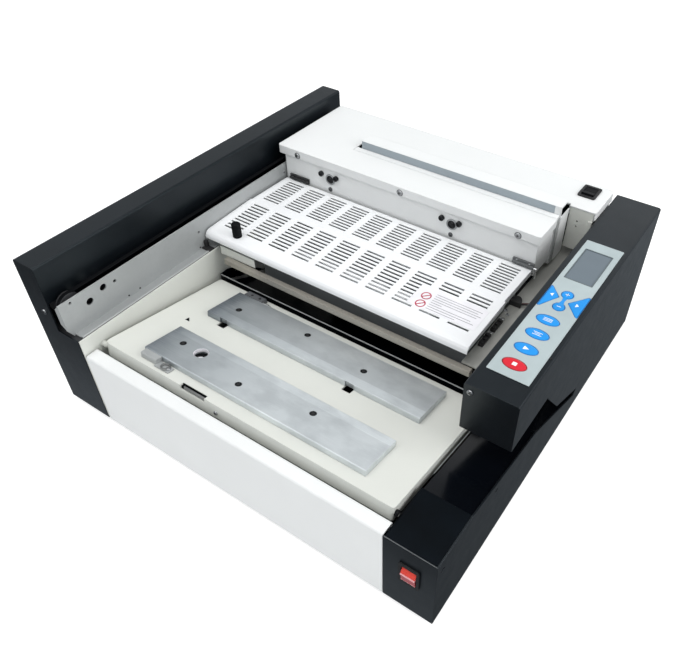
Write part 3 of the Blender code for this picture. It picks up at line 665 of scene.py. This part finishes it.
def build_hinges():
    for name, x0, x1, finish in (("left", 71, 108, MATTE_BLACK), ("right", 462, 494, DARK_GREY)):
        step = (x1 - x0) / 5
        for k in range(5):
            a = x0 + step * k + 0.3
            profile = [(2.1, a), (2.45, a + 0.5), (2.45, a + step - 1.1), (2.1, a + step - 0.6)]
            knuckle = turned("X", *HINGE_LINE, profile, 18)
            piece(f"hinge_{name}_knuckle_{k}", "carriage", "black_plastic", finish, knuckle)
    leaf = HINGE_LINE[0]
    for index, x in enumerate((468, 487)):
        pan_screw(f"hinge_right_screw_{index}", "carriage", "-Y", (x, leaf, 176.2), 1.4)
        pan_screw(f"hinge_left_screw_{index}", "carriage", "-Y", (x - 389, leaf, 176.2), 1.4, BLACK_SCREW)
    pan_screw("front_box_corner_screw", "carriage", "-Y", (490.8, FRONT_WALL, 160.5), 2.0)
    pin = merged(turned("X", 421.0, 172.5, [(1.5, 494.2), (1.5, 498.6), (1.0, 499.2)], 16),
                 turned("Z", 497.4, 421.0, [(1.0, 157.0), (1.4, 158.0), (1.4, 172.5)], 14))
    piece("hinge_pin_bent", "carriage", "brushed_steel", SHINY, pin)


def build_side_flange():
    """Folded sides of the lid."""
    for name, x0, x1, y0, y1, z0, z1 in (
        ("right_front", 492.6, 493.9, 244, 337.5, 160.5, 167.0),
        ("right_rear", 490.6, 491.9, 341, 420.5, 160.5, 168.0),
        ("left_front", 62.1, 63.4, 244, 337.5, 160.5, 167.0),
        ("left_rear", 64.1, 65.4, 341, 420.5, 160.5, 168.0),
    ):
        side = block(x0, x1, y0, y1, z0, z1)
        piece("lid_flange_" + name, "lid", "white_powder_coat", LID_WHITE, side, bevel=0.3)


# ---------------------------------------------------------------- lid

LID_RISE = 3.1 / 89.0
FLUTES = 24


def lid_height(y):
    return 171.0 - LID_RISE * (339.0 - y)


def on_lid(shape):
    """Lays a flat shape, made at height zero, on the front half of the lid."""
    for vert in shape.verts:
        vert.co.z += lid_height(vert.co.y)
    return shape


def build_lid():
    plain = circle(*KNOB_CENTRE, 6.3, FLUTES * 2)
    flutes = toothed(*KNOB_CENTRE, 6.6, 6.25, FLUTES)
    foot, neck = scaled(plain, 1.05), scaled(plain, 0.9)
    rings = [(foot, 168.3), (foot, 170.2), (neck, 170.8), (flutes, 171.6), (flutes, 187.8)]
    rings += [(scaled(plain, 0.95), 189.2), (scaled(plain, 0.8), 190.0), (scaled(plain, 0.35), 190.2)]
    piece("lid_knob_grip", "lid", "black_plastic", BLACK, stacked("Z", rings), stands_for=("lid_knob",))
    label = on_lid(block(387, 486, 270.5, 311, 0.06, 0.22))
    piece("lid_label", "lid", "white_powder_coat", LABEL, label)
    for index, (cx, cy) in enumerate(((403, 294), (404, 277.6))):
        ring = on_lid(ring_plate(circle(cx, cy, 7.0, 36), circle(cx, cy, 5.4, 36), 0.2, 0.3))
        middle = Vector((cx, cy, 0))
        turn = Matrix.Rotation(math.radians(45), 4, "Z")
        slash = block(cx - 5.6, cx + 5.6, cy - 0.8, cy + 0.8, 0.2, 0.3)
        bmesh.ops.transform(slash, matrix=Matrix.Translation(middle) @ turn @ Matrix.Translation(-middle),
                            verts=slash.verts)
        piece(f"label_sign_{index}", "lid", "key_red", PRINT_RED, ring, on_lid(slash))
    lines = []
    for row, length in enumerate((66, 62, 68, 64, 16, 60, 66, 42)):
        y = 303.5 - 4.2 * row
        lines.append(on_lid(block(414, 414 + length, y - 0.45, y + 0.45, 0.2, 0.28)))
    piece("label_lines", "lid", "white_powder_coat", PRINT_GREY, *lines)


# ---------------------------------------------------------------- table


def build_table():
    for plate, screws in (
        ("nip_front", ((172, 79.3), (280.8, 64.1), (382, 79.9))),
        ("nip_rear", ((171.7, 180.9), (280, 196.4), (382, 181.7))),
    ):
        for index, (x, y) in enumerate(screws):
            profile = [(4.5, PLATE_TOP - 2.4), (4.5, PLATE_TOP - 0.5), (4.1, PLATE_TOP - 0.15)]
            head = turned("Z", x, y, profile, 28)
            piece(f"{plate}_screw_{index}", plate, "brushed_steel", BLACK_SCREW, head, on_table=True)
            socket = prism("Z", circle(x, y, 2.1, 6), PLATE_TOP - 0.6, PLATE_TOP - 0.08)
            piece(f"{plate}_socket_{index}", plate, "black_plastic", MATTE_BLACK, socket, on_table=True)
    band_rear = block(142.3, 483.7, 151.6, 166.0, PLATE_TOP - 0.2, PLATE_TOP + 0.06)
    piece("nip_rear_ground_band", "nip_rear", "brushed_steel", BAND, band_rear, on_table=True)
    band_front = block(142.3, 481.7, 92.0, 103.2, PLATE_TOP - 0.2, PLATE_TOP + 0.06)
    piece("nip_front_ground_band", "nip_front", "brushed_steel", BAND, band_front, on_table=True)
    clip = [(227, 122.9), (261.2, 122.9), (261.2, 128.0), (227, 128.0)]
    strip = prism("Y", clip, 27.4, 28.8)
    piece("table_catch", "table", "galvanised_steel", CATCH, strip, on_table=True, bevel=0.3)
    back = block(222.4, 261.6, 30.8, 31.8, 122.8, 128.2)
    piece("table_catch_seat", "table", "black_plastic", BLACK, back, on_table=True)
    eye = ring_plate(circle(186, 36.6, 6.4, 32), circle(186, 36.6, 3.9, 32), 130.6, 132.6)
    piece("stop_eye", "table", "galvanised_steel", CATCH, eye, on_table=True, bevel=0.5)
    # Black triangle over the table's small hole: painted shade of the hole.
    shade_triangle = prism("Z", [(125.6, 125.2), (133.4, 125.8), (126.4, 132.4)], TABLE_TOP - 0.3, TABLE_TOP + 0.05)
    piece("table_hole_shade", "table", "black_plastic", BLACK, shade_triangle, on_table=True)
    # Black disc in the plate hole: painted shadow under the plate.
    floor = prism("Z", circle(*PLATE_HOLE, 9.8, 40), TABLE_TOP + 0.36, TABLE_TOP + 0.7)
    piece("plate_hole_shadow", "nip_front", "black_plastic", BLACK, floor, on_table=True)
    # Pale disc near the front of the hole: painted light on its floor.
    glint = prism("Z", circle(205.2, 75.6, 5.6, 32), TABLE_TOP + 0.7, TABLE_TOP + 0.9)
    piece("plate_hole_lit_patch", "nip_front", "beige_powder_coat", LABEL, glint, on_table=True)
    pan_screw("stop_screw", "table", "+Z", (191.2, 36.4, 130.4), 3.2, on_table=True)
    for side, x0, x1, finish in (("left", 79.2, 86.6, BEIGE), ("right", 530.9, 534.9, BLACK)):
        bush = ring_plate(circle(0, 0, 3.9, 28), circle(0, 0, 3.1, 28), 0, x1 - x0)
        place = turn_to("+X", (x0, *TABLE_PIVOT))
        piece(f"pivot_bush_{side}", "body", "black_plastic", finish, bush, matrix=place, bevel=0.3)
    cap = half_oval(TABLE_PIVOT[0], 119.6, 3.9, 4.2)
    piece("pivot_bush_cap", "body", "black_plastic", BLACK, prism("X", cap, 534.98, 535.3))
    # Pale ring for the hole's wall: painted light on the wall.
    outer, inner = circle(*PLATE_HOLE, 9.85, 48), circle(*PLATE_HOLE, 9.2, 48)
    ring = ring_plate(outer, inner, PLATE_TOP - 5.2, PLATE_TOP - 0.5)
    piece("plate_hole_lit_wall", "nip_front", "brushed_steel", LABEL, ring, on_table=True)
    build_rear_stop()
    pan_screw("skirt_screw", "table", "-Y", (280, 26.1, 116.4), 3.0, on_table=True)


SPRING_COILS = 7


def build_rear_stop():
    """Low bracket behind the left end of the rear plate, with its spring."""
    stand = [(216.1, 129.1), (229, 129.1), (229, 130.6), (226.4, 136.6), (216.1, 136.6)]
    stand = prism("X", stand, 149, 181)
    piece("rear_stop", "table", "dark_steel", DARK_GREY, stand, on_table=True, bevel=0.5)
    strap = block(181, 201, 216.6, 220.4, 128.9, 130.3)
    piece("rear_stop_strap", "table", "galvanised_steel", GALVANISED, strap, on_table=True, bevel=0.3)
    for index, x in enumerate((160, 174)):
        pan_screw(f"rear_stop_screw_{index}", "table", "+Z", (x, 220.5, 136.6), 2.0, BLACK_SCREW, 0.6,
                  on_table=True)
    pan_screw("rear_stop_strap_screw", "table", "+Z", (198, 218.5, 130.3), 1.8, on_table=True)
    points = []
    for k in range(SPRING_COILS * 10 + 1):
        t = 2 * math.pi * k / 10
        points.append((182 + k * 0.17, 218.5 + 1.7 * math.cos(t), 133 + 1.7 * math.sin(t)))
    spring_piece("rear_stop_spring", points, 0.45, "table", SHINY, on_table=True)


def spring_piece(name, points, radius, body, finish, on_table=False):
    """Round wire along a line of points."""
    curve = bpy.data.curves.new(name, "CURVE")
    curve.dimensions = "3D"
    curve.bevel_depth = radius * MM
    curve.bevel_resolution = 2
    curve.use_fill_caps = True
    spline = curve.splines.new("POLY")
    spline.points.add(len(points) - 1)
    matrix = tilt_matrix() if on_table else Matrix.Identity(4)
    for target, point in zip(spline.points, points):
        target.co = (*at(*(matrix @ Vector(point))), 1.0)
    curve.materials.append(finish)
    obj = bpy.data.objects.new(name, curve)
    bpy.context.scene.collection.objects.link(obj)
    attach(obj, body)


# ---------------------------------------------------------------- stations and left bay


def build_stations():
    bracket = merged(block(87, 152, 241.6, 243.0, 138.0, 153.0),
                     block(87, 152, 241.6, 254, 151.6, 153.0))
    piece("station_end_bracket", "body", "beige_powder_coat", BEIGE, bracket, bevel=0.4)
    for index, x in enumerate((98, 138)):
        pan_screw(f"end_bracket_screw_{index}", "body", "+Z", (x, 248.5, 153.0), 1.9)
    rest = merged(block(60.8, 66, 235, 240, 144, 153.6), block(60.8, 76, 230, 240, 142.4, 144.4))
    piece("lid_rest", "body", "black_plastic", MATTE_BLACK, rest, bevel=0.4)
    trough = merged(block(155, 157, 366, 404, 104, 135), block(479, 481, 366, 404, 104, 135),
                    block(157, 479, 402, 404, 104, 135), block(157, 479, 366, 368, 104, 135),
                    block(157, 479, 368, 402, 102.5, 104.5))
    piece("milling_trough", "body", "galvanised_steel", GALVANISED, trough)
    lip = merged(block(84, 532, 234.8, 236.0, 88.4, 101.4), block(84, 532, 235.9, 246, 84.4, 85.4))
    piece("chute_front_lip", "body", "black_gloss_sheet", GLOSS, lip)
    # Light strip on top of the black lip: painted highlight.
    fold = block(84, 532, 234.6, 236.2, 101.5, 102.4)
    piece("chute_lip_highlight", "body", "galvanised_steel", GALVANISED, fold, bevel=0.3)
    cheek = [(236.6, 88.4), (236.6, 101), (252, 101), (272, 93), (330, 52)]
    piece("chute_left_cheek", "body", "black_gloss_sheet", GLOSS, prism("X", cheek, 81.2, 82.6), bevel=0.2)
    profile = [(13, 94), (15, 95.5), (15, 140), (12, 141.5), (12, 149)]
    piece("roller_motor", "body", "dark_steel", DARK, turned("X", 301, 117, profile, 28))
    for index, (body, y) in enumerate((("roller_front", 284.5), ("roller_rear", 317.5))):
        wheel = prism("X", toothed(y, 123, 12.5, 10.8, 18), 154.4, 157.4)
        piece(f"roller_gear_{index}", body, "brushed_steel", SHINY, wheel)
    # Thin light strip along the raised edge beside the table: painted highlight.
    edge = [(100, 109.5), (101.2, 109.5), (186, 96.6), (186, 95.8)]
    piece("slide_edge_highlight", "body", "galvanised_steel", GALVANISED, prism("X", edge, 534.6, 535.4))
    ledge_parts()
    wiring()


def ledge_parts():
    """Fittings on the steel ledge to the right of the stations."""
    housing = prism("Z", half_oval(494, 372, 8.5, 14), LEDGE_FOOT, 149)
    piece("sensor_housing", "body", "black_plastic", MATTE_BLACK, housing, bevel=0.8)
    for index, (y0, y1) in enumerate(((278, 303), (311, 335))):
        base = block(489.6, 496.4, y0, y1, LEDGE_FOOT, 144.5)
        plugs = [block(490.4, 495.6, y, y + 4.4, 144.4, 147) for y in (y0 + 1.5, y0 + 9.5, y0 + 17.5)]
        piece(f"connector_{index}", "body", "black_plastic", MATTE_BLACK, base, *plugs, bevel=0.4)
        clip = block(489.8, 496.2, y1 + 1.5, y1 + 5.5, LEDGE_FOOT, 143)
        piece(f"connector_clip_{index}", "body", "galvanised_steel", SHINY, clip, bevel=0.5)
    for index, (x, y) in enumerate(((488.5, 359), (494, 352), (515, 252), (515, 440), (528, 498))):
        pan_screw(f"ledge_screw_{index}", "body", "+Z", (x, y, LEDGE_FOOT - 0.1), 2.8)
    ridge = [(509, LEDGE_FOOT), (511.5, 142.6), (516, 142.6), (518.5, LEDGE_FOOT)]
    piece("ledge_ridge", "body", "galvanised_steel", LEDGE, prism("Y", ridge, 250, 500), bevel=0.3)


LEAD_STEPS = 16


def wiring():
    """Short leads between the ledge sensor and the console bay."""
    for index, (shift, finish) in enumerate(((0, RUBBER), (3.2, LEAD_RED))):
        points = []
        for k in range(LEAD_STEPS + 1):
            along = k / LEAD_STEPS
            rise = math.sin(along * math.pi)
            points.append((501.5 + 29 * along, 376 + shift + 5 * rise, 143.6 + 1.2 * rise))
        spring_piece(f"sensor_lead_{index}", points, 0.9, "body", finish)


def build_left_bay():
    flange = [(50.4, 184), (57.9, 190.6), (57.9, 152.5), (50.4, 159)]
    flange = prism("Y", flange, 0.7, 2.2)
    piece("guide_plate_flange", "body", "galvanised_steel", GALVANISED, flange, bevel=0.3)
    pan_screw("left_cover_front_screw", "body", "-Y", (24, 0, 168), 3.8)
    bead = prism("Y", circle(73.2, 142.3, 1.7, 20), 9, 590)
    piece("guide_plate_bead", "body", "brushed_steel", GALVANISED, bead)
    for index, (y, z) in enumerate(((330, 170), (420, 178)), start=3):
        pan_screw(f"guide_plate_screw_{index}", "body", "+X", (60, y, z), 2.4)
    for index, y in enumerate((96, 115, 228, 241)):
        head = turned("X", y, 145.5, [(1.2, 60.0), (1.2, 60.5), (0.8, 60.7)], 14)
        piece(f"guide_plate_rivet_{index}", "body", "brushed_steel", BLACK_SCREW, head)
    for index, (body, y) in enumerate((("pulley_front", PULLEY_FRONT), ("pulley_rear", PULLEY_REAR))):
        hub = turned("X", y, PULLEY_HEIGHT, [(7, 44.6), (7, 46.0), (5, 46.2)], 24)
        bolts = []
        for t in (0.4, 1.66, 2.91, 4.17, 5.43):
            place = (y + 9.5 * math.cos(t), PULLEY_HEIGHT + 9.5 * math.sin(t))
            bolts.append(turned("X", *place, [(1.8, 44.9), (1.8, 46.0)], 14))
        piece(f"pulley_hub_{index}", body, "brushed_steel", DARK_GREY, hub, *bolts)
    build_belt()


BELT_RADIUS = 13.3
BELT_THICK = 1.4
BELT_STEPS = 24


def build_belt():
    """Smooth loop round both pulleys."""
    rings = []
    for radius in (BELT_RADIUS, BELT_RADIUS + BELT_THICK):
        ring = []
        for centre, first in ((PULLEY_REAR, -90), (PULLEY_FRONT, 90)):
            for i in range(BELT_STEPS + 1):
                t = math.radians(first + 180 * i / BELT_STEPS)
                ring.append((centre + radius * math.cos(t), PULLEY_HEIGHT + radius * math.sin(t)))
        rings.append(ring)
    inner, outer = rings
    belt = bmesh.new()
    loops = [[belt.verts.new((x, y, z)) for y, z in ring]
             for x, ring in ((47.2, inner), (47.2, outer), (52.8, outer), (52.8, inner))]
    for k in range(4):
        first, second = loops[k], loops[(k + 1) % 4]
        for i in range(len(inner)):
            j = (i + 1) % len(inner)
            belt.faces.new((first[i], first[j], second[j], second[i]))
    piece("toothed_belt", "body", "black_plastic", BLACK, closed(belt), stands_for=("drive_belt",))


# ---------------------------------------------------------------- front, sides and rear


def build_inlet():
    """Contacts and fixing screws of the power inlet."""
    for index, (x, z) in enumerate(((485, 30), (495, 37), (505, 30))):
        pin = block(x - 1, x + 1, 583, 598, z - 3, z + 3)
        piece(f"inlet_contact_{index}", "body", "brushed_steel", SHINY, pin, bevel=0.4)
    for index, x in enumerate((472.4, 517.6)):
        pan_screw(f"inlet_screw_{index}", "body", "+Y", (x, 604.2, 34), 1.6, height=0.6)


def build_power_rocker():
    """Translucent red cap: its face sloping out from the top is a lighter red of painted light, its pale lip
    and bottom edge are painted highlights, and its underside is a darker red.
    """
    upper = [(0.6, 84.2), (-3.8, 77.0), (-3.8, 76.4), (7, 76.4), (7, 84.2)]
    lip = [(-4.75, 76.3), (-4.75, 74.6), (6, 74.6), (6, 76.3)]
    lower = [(-3.6, 74.5), (-2.6, 62.6), (6, 62.6), (6, 74.5)]
    edge = [(-2.9, 62.5), (-2.6, 61.6), (6, 61.6), (6, 62.5)]
    # Cap, lip and edge carry painted light; the lower face keeps the darker red.
    for name, finish, outline, stands_for in (("cap", CAP_PAINTED_LIGHT, upper, ("power_switch_rocker",)),
                                              ("lip", CAP_PAINTED_HIGHLIGHT, lip, ()),
                                              ("lower", RED_CAP, lower, ()),
                                              ("edge", CAP_PAINTED_HIGHLIGHT, edge, ())):
        shape = prism("X", outline, 559.5, 577.1)
        piece("power_rocker_" + name, "power_rocker", "key_red", finish, shape, stands_for=stands_for)


def build_panels():
    # Thin light strip along the front top fold: painted highlight, not wear.
    worn = [(535.6, 0.35), (598.6, 0.35), (598.6, 0.85), (535.6, 0.85)]
    fold = prism("Z", worn, 118.8, 119.12)
    piece("front_fold_highlight", "body", "charcoal_powder_coat", FOLD_HIGHLIGHT, fold)
    for index, (x, z) in enumerate(((50, 160), (290, 160), (520, 160), (50, 12), (520, 12))):
        pan_screw(f"rear_panel_screw_{index}", "body", "+Y", (x, BODY_DEPTH, z), 2.6)
    for index, (y, z) in enumerate(((11, 101), (56, 6), (127, 97), (293, 6))):
        shadow = block(597.0, 597.8, y - 5.0, y + 5.0, z - 2.8, z + 2.8)
        piece(f"side_slot_shade_{index}", "body", "black_plastic", BLACK, shadow)
    louvres = []
    for k in range(12):
        x0, x1 = 145 + 16 * k, 155 + 16 * k
        y0, y1 = BODY_DEPTH + 0.1, BODY_DEPTH + 1.4
        slat = fillet([(x0, y0), (x1, y0), (x1, y1), (x0, y1)], 0.6)
        louvres += [prism("Z", slat, z, z + 4) for z in (70, 84, 98)]
    piece("rear_vent_louvres", "body", "charcoal_powder_coat", CHARCOAL, *louvres, bevel=0.3)
    plate = fillet([(60, 60), (110, 60), (110, 90), (60, 90)], 2)
    plate = prism("Y", plate, BODY_DEPTH + 0.1, BODY_DEPTH + 0.6)
    piece("rating_plate_blank", "body", "brushed_steel", GALVANISED, plate)


build_console()
build_carriage()
build_lid()
build_table()
build_stations()
build_left_bay()
build_inlet()
build_power_rocker()
build_panels()

# ---------------------------------------------------------------- stage, light and camera


def build_floor():
    """Pale floor that glows to white."""
    bm = bmesh.new()
    bmesh.ops.create_grid(bm, x_segments=1, y_segments=1, size=6.0)
    mesh = bpy.data.meshes.new("floor")
    bm.to_mesh(mesh)
    bm.free()
    shade = Shade("pale_floor", (0.55, 0.55, 0.55), 0.7, specular=0.0)
    shade.vary(3, 0.01)
    shade.shader.inputs["Emission Color"].default_value = (1.0, 1.0, 1.0, 1.0)
    shade.shader.inputs["Emission Strength"].default_value = 0.72
    mesh.materials.append(shade.material)
    floor = bpy.data.objects.new("floor", mesh)
    bpy.context.scene.collection.objects.link(floor)
    floor.visible_glossy = False
    build_mirror_card()


def build_mirror_card():
    """Large card on the floor that only reflections see: dark, but brighter to the right, behind, and in a
    strip just before the machine."""
    bm = closed(prism("Z", [(-4, -4), (4, -4), (4, 4), (-4, 4)], 0.0005, 0.001))
    mesh = bpy.data.meshes.new("mirror_card")
    bm.to_mesh(mesh)
    bm.free()
    shade = Shade("mirror_card_grey", (0.0, 0.0, 0.0), 1.0, specular=0.0)
    across, along, _ = shade.axes()
    side = shade.ramp(across, 0.0, 0.60, 0.25, 1.1)
    back = shade.ramp(along, 0.04, 0.30, -0.7, 0.6)
    strip_start = shade.ramp(along, 0.0, 1.0, -0.41, -0.33)
    strip_end = shade.ramp(along, 0.34, 0.0, -0.30, -0.29)
    front = shade.math("MULTIPLY", strip_start, strip_end)
    brightest = shade.math("MAXIMUM", shade.math("MAXIMUM", side, back), front)
    shade.shader.inputs["Emission Color"].default_value = (0.85, 0.93, 1.0, 1.0)
    shade.link(brightest, shade.shader.inputs["Emission Strength"])
    mesh.materials.append(shade.material)
    card = bpy.data.objects.new("mirror_card", mesh)
    bpy.context.scene.collection.objects.link(card)
    card.visible_camera = False
    card.visible_shadow = False
    card.visible_diffuse = False
    card.visible_transmission = False


def area_light(name, place, target, size, power):
    light = bpy.data.lights.new(name, "AREA")
    light.shape = "RECTANGLE"
    light.size, light.size_y = size
    light.energy = power
    obj = bpy.data.objects.new(name, light)
    obj.location = place
    obj.rotation_mode = "QUATERNION"
    obj.rotation_quaternion = (Vector(target) - Vector(place)).to_track_quat("-Z", "Y")
    bpy.context.scene.collection.objects.link(obj)


def build_light():
    """Soft studio light: a sky that is brighter low down, and four large lamps."""
    world = bpy.data.worlds.new("studio")
    bpy.context.scene.world = world
    world.use_nodes = True
    background = world.node_tree.nodes["Background"]
    background.inputs["Color"].default_value = (0.93, 0.97, 1.0, 1.0)
    nodes, links = world.node_tree.nodes, world.node_tree.links
    height = nodes.new("ShaderNodeSeparateXYZ")
    links.new(nodes.new("ShaderNodeTexCoord").outputs["Generated"], height.inputs[0])
    fade = nodes.new("ShaderNodeMapRange")
    fade.inputs["To Min"].default_value = 0.76
    fade.inputs["To Max"].default_value = 0.24
    links.new(height.outputs[2], fade.inputs["Value"])
    links.new(fade.outputs["Result"], background.inputs["Strength"])
    area_light("overhead", (-0.2, -0.4, 2.4), (0, 0, 0), (2.4, 2.0), 43)
    area_light("front_left", (-1.6, -1.9, 1.7), (0, 0, 0.1), (1.4, 1.4), 7)
    area_light("right_high", (2.2, 0.4, 1.3), (0, 0, 0.1), (1.2, 1.6), 29)
    area_light("back_soft", (0.2, 2.4, 1.5), (0, 0, 0.2), (2.2, 1.0), 4)


# Camera solved from the photograph: lengths in pixels of its width, angles in degrees, place in metres.
PHOTO_WIDTH = 700.0
FOCAL_LENGTH = 694.8
SHIFT = (-42.8, 11.8)
AZIMUTH, ELEVATION, ROLL = 33.07, 43.51, 0.81
CAMERA_PLACE = (0.4448, -0.6086, 0.7505)
SENSOR_WIDTH = 36.0


def build_camera():
    data = bpy.data.cameras.new("camera")
    data.sensor_width = SENSOR_WIDTH
    data.lens = FOCAL_LENGTH / PHOTO_WIDTH * SENSOR_WIDTH
    data.shift_x = SHIFT[0] / PHOTO_WIDTH
    data.shift_y = SHIFT[1] / PHOTO_WIDTH
    data.clip_start = 0.01
    camera = bpy.data.objects.new("camera", data)
    azimuth, elevation, roll = (math.radians(v) for v in (AZIMUTH, ELEVATION, ROLL))
    level = math.cos(elevation)
    right = Vector((math.cos(azimuth), math.sin(azimuth), 0))
    back = Vector((math.sin(azimuth) * level, -math.cos(azimuth) * level, math.sin(elevation)))
    up = back.cross(right)
    side = math.cos(roll) * right + math.sin(roll) * up
    top = -math.sin(roll) * right + math.cos(roll) * up
    rotation = Matrix((side, top, back)).transposed()
    camera.matrix_world = Matrix.Translation(CAMERA_PLACE) @ rotation.to_4x4()
    bpy.context.scene.collection.objects.link(camera)
    bpy.context.scene.camera = camera


build_floor()
build_light()
build_camera()
bpy.context.scene.view_settings.view_transform = "Standard"
